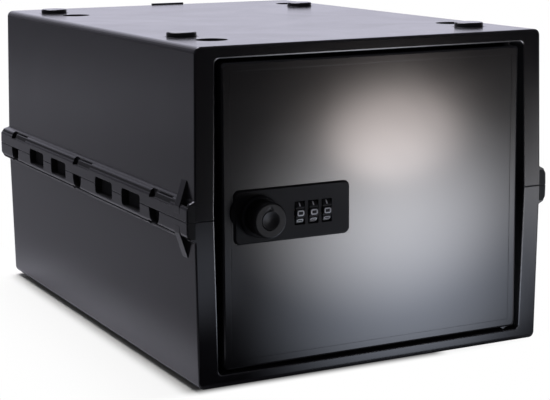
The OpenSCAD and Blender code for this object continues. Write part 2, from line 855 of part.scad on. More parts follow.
module knob() {
    r = knob_d / 2;
    dish_r = r - 2.4;
    dish = 2;
    grip = plate_y - ring_h - 0.3 - knob_y;
    stem_end = seat_y + 0.6;
    color(black) place() difference() {
        union() {
            translate([knob_x, knob_y, lock_z]) rotate([-90, 0, 0]) rotate_extrude()
                polygon([[0, dish], [0.35 * dish_r, 0.9 * dish], [0.6 * dish_r, 0.65 * dish],
                    [0.8 * dish_r, 0.36 * dish], [dish_r - 0.4, 0.3], [dish_r - 0.35, 0.9],
                    [dish_r, 0.9], [dish_r + 0.1, 0], [r - 0.9, 0], [r - 0.3, 0.35], [r, 1], [r - 0.3, grip],
                    [stem_r, grip], [stem_r, stem_end - knob_y], [0, stem_end - knob_y]]);
            // The grip bar ends in an arrow head
            deep(knob_y + 0.15, knob_y + dish + 1) translate([knob_x, lock_z])
                intersection() {
                    circle(r = dish_r + 0.2);
                    polygon([[-1.6, -r], [1.6, -r], [1.6, 2.2], [3.2, 2.2], [0, dish_r], [-3.2, 2.2],
                        [-1.6, 2.2]]);
                }
        }
        s = socket / 2 + 0.05;
        block([knob_x - s, knob_y + socket_in, lock_z - s], [knob_x + s, stem_end + 1, lock_z + s]);
    }
}

square = 6;

module spindle() {
    s = socket / 2;
    q = square / 2;
    stem_end = seat_y + 0.6;
    color(steel) place() difference() {
        union() {
            block([knob_x - s, knob_y + socket_in + 0.3, lock_z - s], [knob_x + s, stem_end, lock_z + s]);
            bar(knob_x, lock_z, shaft_r, stem_end - 0.5, crank_y + 0.5);
            bar(knob_x, lock_z, crank_disc_r, crank_y, crank_y + crank_t);
            bar(knob_x - crank_r / sqrt(2), lock_z - crank_r / sqrt(2), crank_pin_r,
                yoke_y - 0.3, crank_y + 0.5);
            bar(knob_x, lock_z, journal_r, crank_y + 1, cam_y);
            block([knob_x - q, cam_y - 0.3, lock_z - q], [knob_x + q, cam_y + cam_t - 0.2, lock_z + q]);
        }
        bar(knob_x, lock_z, 1.6, cam_y - 7, cam_y + cam_t + 1);
    }
}

module cam() {
    q = square / 2 + 0.05;
    color(steel) place() difference() {
        deep(cam_y, cam_y + cam_t) translate([knob_x, lock_z]) difference() {
            union() {
                circle(d = cam_w + 2);
                intersection() {
                    circle(r = cam_l);
                    translate([-cam_w / 2, 0]) square([cam_w, cam_l]);
                }
            }
            translate([-q, -q]) square(2 * q);
        }
    }
}

module cam_washer() {
    color(steel) place() difference() {
        bar(knob_x, lock_z, 5.2, cam_y + cam_t, cam_y + cam_t + 1);
        bar(knob_x, lock_z, 1.8, cam_y, cam_y + cam_t + 2);
    }
}

module cam_screw() {
    top = cam_y + cam_t + 1;
    color(steel) place() difference() {
        union() {
            bar(knob_x, lock_z, 1.5, cam_y - 6, top + 0.5);
            bar(knob_x, lock_z, 3.4, top, top + 2.4);
        }
        translate([knob_x, top + 2.4 + eps, lock_z]) rotate([90, 0, 0])
            cylinder(r = 1.6, h = 1.5, $fn = 6);
    }
}

/* The code mechanism */

// Slides right as the knob locks, so its teeth pass the gates of all the sleeves
module code_slide() {
    rod_low = knob_x + 8.4;
    pin_x = knob_x - crank_r / sqrt(2);
    slot = crank_pin_r + 0.25;
    top = lock_z - shaft_r - 0.6;
    low = lock_z - crank_r - crank_pin_r - 1.9;
    color(brass) place() {
        cross_bar(axle_r, rod_low, end_low + 1);
        for (i = [-1:1]) translate([dial_x + i * dial_pitch - slide_travel / 2, axle_y, axle_z])
            block([-tooth_t / 2, -0.6, -tooth_r], [tooth_t / 2, 0.6, 0]);
        deep(yoke_y, yoke_y + yoke_t) polygon([[pin_x - slot - 1.4, top], [pin_x - slot, top],
            [pin_x - slot, low + 1.6], [pin_x + slot, low + 1.6], [pin_x + slot, top],
            [pin_x + slot + 2, top], [pin_x + slot + 3, top - 0.8], [rod_low - 2.2, top - 0.8],
            [rod_low - 2.2, axle_z + axle_r], [rod_low + 0.4, axle_z + axle_r],
            [rod_low + 0.4, low], [pin_x - slot - 1.4, low]]);
    }
}

module dial(i) {
    x = dial_x + (i - 2) * dial_pitch;
    r = dial_d / 2;
    bevel = 0.4;
    color(black) place() translate([x - dial_w / 2, axle_y, axle_z]) rotate([0, 90, 0])
        difference() {
            rotate_extrude() polygon([[sleeve_r + 0.05, 0], [r - bevel, 0], [r, bevel],
                [r, dial_w - bevel], [r - bevel, dial_w], [sleeve_r + 0.05, dial_w]]);
            for (k = [1:digits]) rotate(360 * k / digits) {
                // Notch for the sleeve's key
                translate([sleeve_r, 0, -1]) cylinder(r = 0.75, h = dial_w + 2, $fn = 24);
                // Detent groove between two digits
                translate([r + 0.3, 0, -1]) cylinder(r = 0.8, h = dial_w + 2, $fn = 24);
            }
        }
}

module dial_1() {
    dial(1);
}

module dial_2() {
    dial(2);
}

module dial_3() {
    dial(3);
}

module dial_sleeve(i) {
    x = dial_x + (i - 2) * dial_pitch;
    side = (sleeve_l - web_t) / 2;
    color(brass) place() translate([x - sleeve_l / 2, axle_y, axle_z]) rotate([0, 90, 0])
        difference() {
            union() {
                cylinder(r = sleeve_r, h = sleeve_l);
                translate([sleeve_r, 0, 0]) cylinder(r = 0.5, h = sleeve_l, $fn = 24);
            }
            translate([0, 0, -1]) cylinder(r = axle_r + running, h = sleeve_l + 2);
            for (z = [-1, sleeve_l - side]) translate([0, 0, z])
                cylinder(r = tooth_r + 0.4, h = side + 1);
            // The gate: turning the part about Y has put the row's -Z along +X here
            translate([0, -0.8, -1]) cube([tooth_r + 0.3, 1.6, sleeve_l + 2]);
        }
}

module dial_sleeve_1() {
    dial_sleeve(1);
}

module dial_sleeve_2() {
    dial_sleeve(2);
}

module dial_sleeve_3() {
    dial_sleeve(3);
}

// Presses the sleeves together until the code lever parts them
module sleeve_spring() {
    turns = 2.4;
    wire_r = 0.25;
    wire_sides = 6;
    coil_r = sleeve_r - 0.8;
    low = last_dial_x + sleeve_l / 2 + wire_r + 0.1;
    length = chamber_high - wire_r - 0.1 - low;
    rings = 40;
    color(steel) place() translate([low, axle_y, axle_z])
        loft([for (k = [0:rings]) let (a = -360 * turns * k / rings)
            [for (q = [1:wire_sides]) let (t = 360 * q / wire_sides, r = coil_r + wire_r * cos(t))
                [length * k / rings + wire_r * sin(t), r * cos(a), r * sin(a)]]]);
}

// A strip with one bent finger for each dial, whose bead drops into the grooves
module detent_spring() {
    strip = 0.4;
    angle = 180 / digits;
    bead_r = 0.5;
    bead = dial_d / 2 + bead_r + 0.1;
    bead_y = axle_y + bead * cos(angle);
    bead_z = axle_z + bead * sin(angle);
    foot = cover_y - strip;
    foot_z = axle_z + dial_d / 2 - 1.4;
    color(steel) place() {
        block([chamber_low + 0.8, foot, foot_z - 0.6], [chamber_high - 0.8, cover_y, foot_z + 1.2]);
        for (i = [-1:1]) translate([dial_x + i * dial_pitch, 0, 0]) {
            outwards(-2, 2) polygon([[foot + strip, foot_z], [foot, foot_z],
                [bead_y - 0.1, bead_z + 0.2], [bead_y + strip, bead_z]]);
            translate([-2, bead_y, bead_z]) rotate([0, 90, 0])
                cylinder(r = bead_r, h = 4, $fn = 24);
        }
    }
}

lower_shell();
upper_shell();
door();
lock_plate();
lock_housing();
lock_cover();
lock_screws();
knob();
spindle();
cam();
cam_washer();
cam_screw();
code_slide();
dial_1();
dial_2();
dial_3();
dial_sleeve_1();
dial_sleeve_2();
dial_sleeve_3();
sleeve_spring();
detent_spring();
code_lever();
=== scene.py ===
"""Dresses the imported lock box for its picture, piece by piece, in the order it is put together."""

import math

import bmesh
import bpy
from mathutils import Matrix, Vector


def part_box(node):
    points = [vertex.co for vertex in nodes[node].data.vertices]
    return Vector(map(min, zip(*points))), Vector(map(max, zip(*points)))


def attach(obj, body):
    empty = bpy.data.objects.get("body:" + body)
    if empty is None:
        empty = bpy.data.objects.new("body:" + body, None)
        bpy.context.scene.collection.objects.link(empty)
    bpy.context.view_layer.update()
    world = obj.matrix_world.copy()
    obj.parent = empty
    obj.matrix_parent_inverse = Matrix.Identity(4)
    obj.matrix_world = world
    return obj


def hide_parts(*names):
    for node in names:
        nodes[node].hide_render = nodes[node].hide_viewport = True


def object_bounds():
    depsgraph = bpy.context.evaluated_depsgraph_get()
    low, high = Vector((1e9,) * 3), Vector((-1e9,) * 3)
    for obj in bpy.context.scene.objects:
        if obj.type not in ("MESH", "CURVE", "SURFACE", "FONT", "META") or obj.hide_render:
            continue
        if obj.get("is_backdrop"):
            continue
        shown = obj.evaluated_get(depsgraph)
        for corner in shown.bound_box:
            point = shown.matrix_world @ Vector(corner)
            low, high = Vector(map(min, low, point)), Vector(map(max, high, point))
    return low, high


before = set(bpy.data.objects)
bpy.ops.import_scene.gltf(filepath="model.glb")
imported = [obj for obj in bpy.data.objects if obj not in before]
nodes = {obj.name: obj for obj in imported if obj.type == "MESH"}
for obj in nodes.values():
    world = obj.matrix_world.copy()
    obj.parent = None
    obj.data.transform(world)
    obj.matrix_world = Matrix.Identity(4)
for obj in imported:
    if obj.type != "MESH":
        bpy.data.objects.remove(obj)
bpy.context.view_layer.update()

# The two half shells. They are one moulding in black polypropylene, snapped together round the
# flange at mid height. The mould leaves a fine eroded grain, faint flow marks and soft edges.


def fill(tree, node, inputs):
    """Sets a node's inputs to plain values, or links them to other nodes' outputs."""
    for key, value in inputs.items():
        if isinstance(value, bpy.types.NodeSocket):
            tree.links.new(value, node.inputs[key])
        else:
            node.inputs[key].default_value = value


def add_node(tree, kind, inputs=None, **settings):
    node = tree.nodes.new(kind)
    for label, value in settings.items():
        setattr(node, label, value)
    fill(tree, node, inputs or {})
    return node


def math_of(tree, operation, *values):
    return add_node(tree, "ShaderNodeMath", dict(enumerate(values)), operation=operation).outputs[0]


def vector_of(tree, operation, *values, result="Vector"):
    step = add_node(tree, "ShaderNodeVectorMath", dict(enumerate(values)), operation=operation)
    return step.outputs[result]


def ramp(tree, source, start, end, at_start, at_end, curve="LINEAR"):
    """A value that runs from at_start to at_end while the source runs from start to end."""
    limits = {"From Min": start, "From Max": end, "To Min": at_start, "To Max": at_end}
    step = add_node(tree, "ShaderNodeMapRange", {"Value": source, **limits}, interpolation_type=curve)
    return step.outputs["Result"]


def mix_of(tree, share, first, second):
    """The first value, turning into the second as the share goes from 0 to 1."""
    blend = add_node(tree, "ShaderNodeMix", {"Factor": share, "A": first, "B": second})
    return blend.outputs["Result"]


def colour_mix(tree, share, first, second):
    """The same for colours, which have sockets of their own in the mix node: 6, 7 and 2."""
    blend = add_node(tree, "ShaderNodeMix", {"Factor": share, 6: first, 7: second}, data_type="RGBA")
    return blend.outputs[2]


def two_tones(tree, source, start, end, low_tone, high_tone):
    """A colour that runs from low_tone to high_tone while the source runs from start to end."""
    blend = add_node(tree, "ShaderNodeValToRGB", {"Fac": source})
    for stop, position, tone in zip(blend.color_ramp.elements, (start, end), (low_tone, high_tone)):
        stop.position = position
        stop.color = (*tone, 1)
    return blend.outputs["Color"]


def new_finish(name):
    """A fresh material, its node tree and its object's coordinates."""
    finish = bpy.data.materials.new(name)
    finish.use_nodes = True
    return finish, finish.node_tree, add_node(finish.node_tree, "ShaderNodeTexCoord").outputs


def moulded_plastic(name, tone, roughness, grain_mm, grain_depth_mm, edge_mm, ior=1.49, recess_mm=5,
                    front_roughness=None, unshaded_face=None):
    """Grained plastic with flow marks. The faces that look forward can have a roughness of their
    own. Painted shade: recesses that ambient occlusion finds, and faces where the optional mask
    function gives 0, are painted near black and made rough."""
    finish, tree, place = new_finish(name)

    # The pigment and the sheen vary a little along the flow of the melt
    swirls = {"Scale": 17, "Detail": 4, "Distortion": 1.4}
    least, most = 0.3, 0.7
    flow = add_node(tree, "ShaderNodeTexNoise", {"Vector": place["Object"], **swirls}).outputs["Fac"]
    pigment = two_tones(tree, flow, least, most, [0.86 * c for c in tone], [1.14 * c for c in tone])
    sheen = ramp(tree, flow, least, most, 0.93 * roughness, 1.07 * roughness)
    if front_roughness is not None:
        straight_ahead = (0, -1, 0)
        facing = vector_of(tree, "DOT_PRODUCT", place["Normal"], straight_ahead, result="Value")
        forward = ramp(tree, facing, 0.9, 0.98, 0, 1)
        sheen = mix_of(tree, forward, sheen, front_roughness)

    # Painted shade: slots, pockets and inner corners that ambient occlusion finds are painted near black
    # and made rough
    painted_shade_black = (0.0006, 0.0006, 0.0006, 1)
    painted_shade_roughness = 0.95
    enclosed, clear = 0.4, 0.75
    shade_occlusion = add_node(tree, "ShaderNodeAmbientOcclusion", {"Distance": recess_mm / 1000}, samples=6)
    unshaded = ramp(tree, shade_occlusion.outputs["AO"], enclosed, clear, 0, 1)
    if unshaded_face is not None:
        unshaded = math_of(tree, "MULTIPLY", unshaded_face(tree, place["Object"]), unshaded)

    grain_scale = {"Scale": 1000 / grain_mm, "Detail": 2}
    grain = add_node(tree, "ShaderNodeTexNoise", {"Vector": place["Object"], **grain_scale})
    soft_edge = add_node(tree, "ShaderNodeBevel", {"Radius": edge_mm / 1000}, samples=4)
    relief = add_node(tree, "ShaderNodeBump", {
        "Strength": 0.5,
        "Distance": grain_depth_mm / 1000,
        "Height": grain.outputs["Fac"],
        "Normal": soft_edge.outputs["Normal"],
    })
    fill(tree, tree.nodes["Principled BSDF"], {
        "IOR": ior,
        "Base Color": colour_mix(tree, unshaded, painted_shade_black, pigment),
        "Roughness": mix_of(tree, unshaded, painted_shade_roughness, sheen),
        "Normal": relief.outputs["Normal"],
    })
    return finish


def outside_flange_pockets(tree, place):
    """0 on what lies behind the outer skin of the flange, inside its open pockets, which get painted
    shade, and 1 elsewhere.
    """
    pocket_middle = 0.1024
    pocket_half_depth = 0.0019
    flange_half_height = 0.0083
    mid_height = 0.086
    frame_end = -0.14
    parts = add_node(tree, "ShaderNodeSeparateXYZ", {0: place}).outputs
    aside = math_of(tree, "ABSOLUTE", parts["X"])
    behind_skin = math_of(tree, "COMPARE", aside, pocket_middle, pocket_half_depth)
    up = math_of(tree, "ABSOLUTE", math_of(tree, "SUBTRACT", parts["Z"], mid_height))
    on_flange = math_of(tree, "LESS_THAN", up, flange_half_height)
    behind_frame = math_of(tree, "GREATER_THAN", parts["Y"], frame_end)
    within = math_of(tree, "MULTIPLY", on_flange, behind_frame)
    return math_of(tree, "SUBTRACT", 1, math_of(tree, "MULTIPLY", behind_skin, within))


def finish_solid(name, finish):
    surface = nodes[name].data
    surface.materials.clear()
    surface.materials.append(finish)


# The shells get painted shade: near black in their recesses and in the flange's open pockets
shell_black = moulded_plastic("shell_black", (0.0115, 0.0108, 0.0125), roughness=0.22, grain_mm=0.5,
                              grain_depth_mm=0.006, edge_mm=0.5, front_roughness=0.13,
                              unshaded_face=outside_flange_pockets)
for half in ("lower_shell", "upper_shell"):
    finish_solid(half, shell_black)

# The door. It is a moulded tray from a polished tool, so its black face is smoother than the
# shells and throws back a soft glow. Its two hinge pins snap into the shells.

door_black = moulded_plastic("door_black", (0.008, 0.008, 0.009), roughness=0.14, grain_mm=0.35,
                             grain_depth_mm=0.0006, edge_mm=0.08, recess_mm=0.05)
finish_solid("door", door_black)


def new_piece(name, data):
    piece = bpy.data.objects.new(name, data)
    bpy.context.scene.collection.objects.link(piece)
    return piece


def closed_piece(name, form):
    """The piece that a bmesh describes, with its faces turned outward."""
    bmesh.ops.recalc_face_normals(form, faces=form.faces[:])
    mesh = bpy.data.meshes.new(name)
    form.to_mesh(mesh)
    form.free()
    return new_piece(name, mesh)


def recess_corners(name, low, high, radius, gap, front, rear):
    """Four fillets that round the corners of the lock plate's recess, flush with the door's face."""
    arc_steps = 10
    form = bmesh.new()
    for side_x, x in ((1, low.x - gap), (-1, high.x + gap)):
        for side_z, z in ((1, low.z - gap), (-1, high.z + gap)):
            outline = [(x, z)]
            for i in range(arc_steps + 1):
                turn = math.pi / 2 * i / arc_steps
                inward_x = side_x * radius * (1 - math.sin(turn))
                inward_z = side_z * radius * (1 - math.cos(turn))
                outline.append((x + inward_x, z + inward_z))
            near, far = [[form.verts.new((a, y, b)) for a, b in outline] for y in (front, rear)]
            form.faces.new(near)
            form.faces.new(far)
            for i in range(len(outline)):
                j = (i + 1) % len(outline)
                form.faces.new((near[i], near[j], far[j], far[i]))
    return closed_piece(name, form)


# The bulge at the plate's left lies on the door's face, so the recess ends where the bulge starts
plate_w = 0.0638
recess_gap = 0.00015
recess_r = 0.00315
recess_depth = 0.001
plate_low, plate_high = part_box("lock_plate")
plate_low.x = plate_high.x - plate_w
door_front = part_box("door")[0].y
corners = recess_corners("recess_corners", plate_low, plate_high, recess_r, recess_gap,
                         door_front, door_front + recess_depth)
corners.data.materials.append(door_black)
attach(corners, "door")

# The lock's plate, housing, cover and code lever. They are small satin black mouldings with a
# finer grain than the shells. The housing is screwed to the plate through the door.

lock_black = moulded_plastic("lock_black", (0.003, 0.0028, 0.0034), roughness=0.68, grain_mm=0.3,
                             grain_depth_mm=0.01, edge_mm=0.25, ior=1.25)
for piece in ("lock_plate", "lock_housing", "lock_cover", "code_lever"):
    finish_solid(piece, lock_black)

# The knob. It is a black moulding on the spindle's square end, with a hollow for the fingertip,
# a groove round the hollow's left half and a sunk arrow above it that shows where it points.

knob_black = moulded_plastic("knob_black", (0.003, 0.0027, 0.0027), roughness=0.48, grain_mm=0.3,
                             grain_depth_mm=0.01, edge_mm=0.25, ior=1.26, recess_mm=0.4)
finish_solid("knob", knob_black)


def soft_step(value, start, end):
    t = min(max((value - start) / (end - start), 0), 1)
    return t * t * (3 - 2 * t)


def knob_relief(across, up, radius):
    """How far a spot of the knob's face lies behind its rim. All lengths are in millimetres."""
    bowl_r, bowl_deep = 4.9, 1.2
    groove_r, groove_deep = 4.65, 0.4
    arrow_foot, arrow_tip, arrow_deep = 4.9, 7, 0.18
    out = math.hypot(across, up)
    bowl = bowl_deep * max(1 - (out / bowl_r) ** 2, 0) ** 1.5
    left_half = soft_step(-across / max(out, 0.01), -0.25, 0.05)
    groove = groove_deep * left_half * (1 - soft_step(abs(out - groove_r), 0.1, 0.3))
    beside_arrow = soft_step(abs(across) - (arrow_tip - up) * 0.85, -0.25, 0)
    arrow = arrow_deep * (1 - beside_arrow) * soft_step(up, arrow_foot, arrow_foot + 0.25)
    shoulder = 0.35 * soft_step(out, radius - 1, radius - 0.3)
    edge = 0.65 * soft_step(out, radius - 0.35, radius)
    return bowl + groove + arrow + shoulder + edge


def turned_knob(name, low, high, ring_front):
    """The knob with its finely moulded face and the bore for the spindle, in rings of points."""
    turns = 120
    skirt_gap, stem_r, bore_r, bore_start = 0.3, 5, 3.65, 5
    radius = (high.x - low.x) / 2 * 1000
    skirt = (ring_front - low.y) * 1000 - skirt_gap
    rear = (high.y - low.y) * 1000
    axle_x = (low.x + high.x) / 2
    axle_z = (low.z + high.z) / 2
    form = bmesh.new()

    def spot(across, up, deep):
        return form.verts.new((axle_x + across / 1000, low.y + deep / 1000, axle_z + up / 1000))

    def ring_of(ring_r, deep=None):
        ring = []
        for i in range(turns):
            turn = math.tau * i / turns
            across, up = ring_r * math.cos(turn), ring_r * math.sin(turn)
            ring.append(spot(across, up, knob_relief(across, up, radius) if deep is None else deep))
        return ring

    bowl_end, groove_start, groove_end = 4.4, 4.25, 5.2
    face_rings = [bowl_end * i / 14 for i in range(1, 14)]
    face_rings += [groove_start + 0.1 * i for i in range(10)]
    face_rings += [groove_end + (radius - groove_end) * i / 20 for i in range(1, 21)]
    back_rings = [(radius - skirt_gap, skirt), (stem_r, skirt)]
    back_rings += [(stem_r, rear), (bore_r, rear), (bore_r, bore_start)]
    rings = [ring_of(ring_r) for ring_r in face_rings] + [ring_of(*ring) for ring in back_rings]
    face_centre = spot(0, 0, knob_relief(0, 0, radius))
    bore_centre = spot(0, 0, bore_start)
    for i in range(turns):
        j = (i + 1) % turns
        form.faces.new((face_centre, rings[0][i], rings[0][j]))
        for near, far in zip(rings, rings[1:]):
            form.faces.new((near[i], far[i], far[j], near[j]))
        form.faces.new((rings[-1][i], bore_centre, rings[-1][j]))
    piece = closed_piece(name, form)
    piece.data.shade_smooth()
    piece.data.set_sharp_from_angle(angle=math.radians(50))
    return piece


knob_low, knob_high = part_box("knob")
ring_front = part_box("lock_plate")[0].y
knob_face = turned_knob("turned_knob", knob_low, knob_high, ring_front)
knob_face.data.materials.append(knob_black)
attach(knob_face, "knob")
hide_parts("knob")

# The steel of the lock: four screws, the spindle, the latch arm with its washer and screw, and
# two springs. All of it is zinc plated, with a faint mottled bloom in the plating.


def plated_steel(name):
    finish, tree, place = new_finish(name)
    mottle = {"Scale": 420, "Detail": 5}
    bloom = add_node(tree, "ShaderNodeTexNoise", {"Vector": place["Object"], **mottle}).outputs["Fac"]
    blue_steel = (0.5, 0.51, 0.53)
    pale_steel = (0.66, 0.66, 0.64)
    edge_r = 0.00015
    fill(tree, tree.nodes["Principled BSDF"], {
        "Metallic": 1,
        "Base Color": two_tones(tree, bloom, 0.35, 0.65, blue_steel, pale_steel),
        "Roughness": ramp(tree, bloom, 0, 1, 0.24, 0.4),
        "Normal": add_node(tree, "ShaderNodeBevel", {"Radius": edge_r}, samples=4).outputs["Normal"],
    })
    return finish


zinc = plated_steel("zinc")
for piece in ("lock_screws", "spindle", "cam", "cam_washer", "cam_screw",
              "sleeve_spring", "detent_spring"):
    finish_solid(piece, zinc)

# The brass of the lock: the toothed slide and the three gated sleeves that it passes through.
# They are turned and milled from bar, which leaves fine rings and a warm, slightly dull surface.


def turned_brass(name):
    finish, tree, place = new_finish(name)
    tool_marks = {"Scale": 900, "Distortion": 0.6}
    rings = add_node(tree, "ShaderNodeTexWave", {"Vector": place["Object"], **tool_marks},
                     bands_direction="X")
    dark_brass = (0.52, 0.37, 0.16)
    bright_brass = (0.68, 0.51, 0.25)
    tone = two_tones(tree, rings.outputs["Fac"], 0, 1, dark_brass, bright_brass)
    fill(tree, tree.nodes["Principled BSDF"], {"Metallic": 1, "Base Color": tone, "Roughness": 0.34})
    return finish


brass = turned_brass("brass")
for piece in ("code_slide", "dial_sleeve_1", "dial_sleeve_2", "dial_sleeve_3"):
    finish_solid(piece, brass)

# The three dials. Each is a black wheel with ten pale digits printed round its rim, 0 to the
# front. The digits are drawn flat as strokes, then swept with paint and wrapped onto the rim.

dial_black = moulded_plastic("dial_black", (0.003, 0.003, 0.0032), roughness=0.6, grain_mm=0.3,
                             grain_depth_mm=0.005, edge_mm=0.15, ior=1.25)
digit_paint = moulded_plastic("digit_paint", (0.85, 0.85, 0.86), roughness=0.5, grain_mm=0.2,
                              grain_depth_mm=0.005, edge_mm=0.02)

# Strokes of each digit in a box one wide and one high, with whether the stroke is closed
digit_strokes = {
    0: [([(0, 0), (1, 0), (1, 1), (0, 1)], True)],
    1: [([(0.5, 0), (0.5, 1)], False)],
    2: [([(0, 1), (1, 1), (1, 0.5), (0, 0.5), (0, 0), (1, 0)], False)],
    3: [([(0, 1), (1, 1), (1, 0), (0, 0)], False), ([(0.2, 0.5), (1, 0.5)], False)],
    4: [([(0, 1), (0, 0.4), (1, 0.4)], False), ([(0.75, 1), (0.75, 0)], False)],
    5: [([(1, 1), (0, 1), (0, 0.52), (1, 0.52), (1, 0), (0, 0)], False)],
    6: [([(1, 1), (0, 1), (0, 0), (1, 0), (1, 0.55), (0, 0.55)], False)],
    7: [([(0, 1), (1, 1), (0.4, 0)], False)],
    8: [([(0, 0), (1, 0), (1, 1), (0, 1)], True), ([(0, 0.5), (1, 0.5)], False)],
    9: [([(1, 0.45), (0, 0.45), (0, 1), (1, 1), (1, 0), (0, 0)], False)],
}
digit_w = 0.0031
digit_h = 0.0022


def digit_sheet(dial, rim_r):
    """The digits of one dial as strokes on a flat sheet, x across the dial and y round its rim."""
    sheet = bpy.data.curves.new(dial + "_strokes", "CURVE")
    sheet.dimensions = "3D"
    for digit, strokes in digit_strokes.items():
        steps_up = digit if digit < 6 else digit - 10
        middle = steps_up * math.tau / 10 * rim_r
        for points, closed in strokes:
            line = sheet.splines.new("POLY")
            line.points.add(len(points) - 1)
            line.use_cyclic_u = closed
            for spot, (x, y) in zip(line.points, points):
                spot.co = ((x - 0.5) * digit_w, middle + (y - 0.5) * digit_h, 0, 1)
    return sheet


def printing_tree():
    """Rounds the strokes' corners, sweeps a flat band of paint along them and wraps it on the rim."""
    tree = bpy.data.node_groups.new("printed_digits", "GeometryNodeTree")
    face = tree.interface
    face.new_socket("Strokes", in_out="INPUT", socket_type="NodeSocketGeometry")
    lengths = {"Rim radius": 0.0072, "Axle Y": -0.13, "Axle Z": 0.08, "Dial X": 0,
               "Stroke width": 0.00064, "Paint thickness": 0.00006, "Corner radius": 0.0006}
    for label, value in lengths.items():
        face.new_socket(label, in_out="INPUT", socket_type="NodeSocketFloat").default_value = value
    face.new_socket("Paint", in_out="INPUT", socket_type="NodeSocketMaterial")
    face.new_socket("Digits", in_out="OUTPUT", socket_type="NodeSocketGeometry")
    given = add_node(tree, "NodeGroupInput").outputs

    fillet = {"Curve": given["Strokes"], "Radius": given["Corner radius"], "Count": 4}
    rounded = add_node(tree, "GeometryNodeFilletCurve", fillet, mode="POLY")
    stepped = add_node(tree, "GeometryNodeSubdivideCurve", {"Curve": rounded.outputs["Curve"], "Cuts": 3})
    level = add_node(tree, "GeometryNodeSetCurveNormal", {"Curve": stepped.outputs["Curve"]}, mode="Z_UP")
    band = add_node(tree, "GeometryNodeCurvePrimitiveQuadrilateral",
                    {"Width": given["Stroke width"], "Height": given["Paint thickness"]})
    ends = {"Curve": level.outputs["Curve"], "Profile Curve": band.outputs["Curve"]}
    swept = add_node(tree, "GeometryNodeCurveToMesh", {**ends, "Fill Caps": True})

    position = add_node(tree, "GeometryNodeInputPosition").outputs["Position"]
    parts = add_node(tree, "ShaderNodeSeparateXYZ", {0: position}).outputs
    angle = math_of(tree, "DIVIDE", parts["Y"], given["Rim radius"])
    reach = math_of(tree, "ADD", parts["Z"], given["Rim radius"])
    forward = math_of(tree, "MULTIPLY", reach, math_of(tree, "COSINE", angle))
    upward = math_of(tree, "MULTIPLY", reach, math_of(tree, "SINE", angle))
    rim_spot = add_node(tree, "ShaderNodeCombineXYZ", {
        "X": math_of(tree, "ADD", parts["X"], given["Dial X"]),
        "Y": math_of(tree, "SUBTRACT", given["Axle Y"], forward),
        "Z": math_of(tree, "ADD", given["Axle Z"], upward),
    })
    wrapped = add_node(tree, "GeometryNodeSetPosition",
                       {"Geometry": swept.outputs["Mesh"], "Position": rim_spot.outputs[0]})
    real = add_node(tree, "GeometryNodeRealizeInstances", {"Geometry": wrapped.outputs["Geometry"]})
    painted = add_node(tree, "GeometryNodeSetMaterial",
                       {"Geometry": real.outputs["Geometry"], "Material": given["Paint"]})
    add_node(tree, "NodeGroupOutput", {"Digits": painted.outputs["Geometry"]})
    return tree


def give_sizes(modifier, sizes):
    """Sets a tree's named inputs through the sockets' identifiers."""
    sockets = {s.name: s.identifier for s in modifier.node_group.interface.items_tree
               if getattr(s, "in_out", "") == "INPUT"}
    for label, value in sizes.items():
        modifier[sockets[label]] = value


def baked(maker, name):
    """The evaluated result of an object with modifiers, as a plain mesh object of its own."""
    evaluated = maker.evaluated_get(bpy.context.evaluated_depsgraph_get())
    mesh = bpy.data.meshes.new_from_object(evaluated)
    mesh.name = name
    bpy.data.objects.remove(maker)
    return new_piece(name, mesh)


printed_digits = printing_tree()
for dial in ("dial_1", "dial_2", "dial_3"):
    finish_solid(dial, dial_black)
    low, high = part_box(dial)
    middle = (low + high) / 2
    rim_r = (high.y - low.y) / 2
    maker = new_piece(dial + "_maker", digit_sheet(dial, rim_r))
    printing = maker.modifiers.new("printing", "NODES")
    printing.node_group = printed_digits
    give_sizes(printing, {"Rim radius": rim_r, "Axle Y": middle.y, "Axle Z": middle.z,
                          "Dial X": middle.x, "Paint": digit_paint})
    digits = baked(maker, "digits_" + dial[-1])
    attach(digits, dial)

# The studio floor: a plain white sheet that runs into the white of the room, with the box's
# shadow on it. Its tone in reflections is painted light and shade: nearly black in front of the
# box, dim behind it and far to the left, and pale beside it.


def mirrored_floor(tree, x, y):
    """The floor's tone in reflections, painted light and shade for the box to mirror. Each ramp blends
    two tones over a stretch, in metres.
    """
    behind = ramp(tree, y, 0.4, 1.35, 0.13, 0.5, "SMOOTHSTEP")
    far_left = ramp(tree, x, -0.5, -0.18, behind, 0.2, "SMOOTHSTEP")
    at_the_wall = ramp(tree, y, 0, 0.25, 0.8, 0.3, "SMOOTHSTEP")
    beside = ramp(tree, x, -0.15, -0.11, far_left, at_the_wall, "SMOOTHSTEP")
    return ramp(tree, y, -0.3, -0.1, 0.03, beside, "SMOOTHSTEP")


def clear_of_shadow(tree, place, y):
    """How far the seen floor has faded to bare white: 0 at the box, 1 away from it and in front."""
    shadow_middle = (-0.03, 0, 0)
    shadow_half = (0.0685, 0.15, 0)
    contact_w = 0.01
    fade_w = 0.08
    aside = vector_of(tree, "ABSOLUTE", vector_of(tree, "SUBTRACT", place, shadow_middle))
    outside = vector_of(tree, "MAXIMUM", vector_of(tree, "SUBTRACT", aside, shadow_half), (0, 0, 0))
    away = vector_of(tree, "LENGTH", outside, result="Value")
    contact = ramp(tree, away, 0, contact_w, 0, 0.84, "SMOOTHSTEP")
    fade = ramp(tree, away, contact_w, fade_w, contact, 1, "SMOOTHSTEP")
    return ramp(tree, y, -0.14, -0.128, 1, fade, "SMOOTHSTEP")


